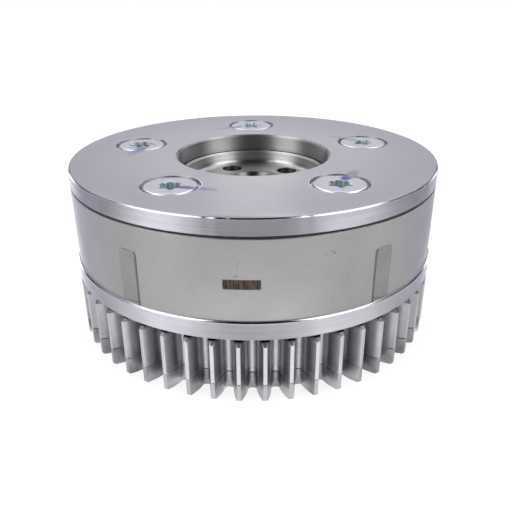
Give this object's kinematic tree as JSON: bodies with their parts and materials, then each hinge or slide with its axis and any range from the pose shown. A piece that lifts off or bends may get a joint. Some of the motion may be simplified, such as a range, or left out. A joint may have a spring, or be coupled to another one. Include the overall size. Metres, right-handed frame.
{
  "type": "cam phaser",
  "caption": "Oil-driven vane cam phaser: round bolted case with a toothed drive gear and a sprung scissor gear, and a rotor that turns the camshaft inside it.",
  "frame": {"origin": "on the axis at the rear face of the scissor gear, the lowest face", "axes": "+Z along the axis from the gears towards the front cover; -Y is the side seen in the picture"},
  "size_m": [0.094, 0.094, 0.0432],
  "materials": {
    "ground_steel": "fine turned and ground",
    "sintered_steel": "smooth sintered, satin",
    "gear_steel": "machined, satin",
    "rotor_steel": "turned, satin",
    "zinc_plated_steel": "bright zinc plate",
    "hardened_steel": "ground, bright",
    "spring_steel": "oiled, dark",
    "seal_rubber": "matte black",
    "seal_strip_plastic": "filled sealing plastic"
  },
  "bodies": {
    "case": {"front_cover": "ground_steel", "cover_seal_ring": "seal_rubber", "cover_screws": "zinc_plated_steel", "vane_housing": "sintered_steel", "locating_dowels": "hardened_steel", "drive_gear": "gear_steel", "lock_pin_seat": "hardened_steel", "scissor_spring": "spring_steel", "scissor_stop_pin": "hardened_steel", "scissor_retaining_ring": "spring_steel", "web_seal_1": "seal_strip_plastic", "web_seal_2": "seal_strip_plastic", "web_seal_3": "seal_strip_plastic", "web_seal_4": "seal_strip_plastic", "web_seal_5": "seal_strip_plastic", "web_seal_spring_1": "spring_steel", "web_seal_spring_2": "spring_steel", "web_seal_spring_3": "spring_steel", "web_seal_spring_4": "spring_steel", "web_seal_spring_5": "spring_steel"},
    "rotor": {"rotor": "rotor_steel", "lock_pin_spring": "spring_steel", "lock_pin_plug": "hardened_steel", "vane_seal_1": "seal_strip_plastic", "vane_seal_2": "seal_strip_plastic", "vane_seal_3": "seal_strip_plastic", "vane_seal_4": "seal_strip_plastic", "vane_seal_5": "seal_strip_plastic", "vane_seal_spring_1": "spring_steel", "vane_seal_spring_2": "spring_steel", "vane_seal_spring_3": "spring_steel", "vane_seal_spring_4": "spring_steel", "vane_seal_spring_5": "spring_steel"},
    "lock_pin": {"lock_pin": "hardened_steel"},
    "scissor_gear": {"scissor_gear": "gear_steel", "scissor_spring_pin": "hardened_steel"}
  },
  "joints": [
    {"name": "rotor_phase", "type": "hinge", "parent": "case", "child": "rotor", "pos_m": [0, 0, 0.0296], "axis": [0, 0, 1], "range_deg": [0, 20]},
    {"name": "lock_pin_slide", "type": "slide", "parent": "rotor", "child": "lock_pin", "axis": [0, 0, 1], "range_m": [0, 0.0015], "stiffness_N_per_m": 600, "deforming": ["lock_pin_spring"]},
    {"name": "scissor_gear_turn", "type": "hinge", "parent": "case", "child": "scissor_gear", "pos_m": [0, 0, 0.0022], "axis": [0, 0, 1], "range_deg": [0, 2.5], "stiffness_Nm_per_rad": 20}
  ]
}
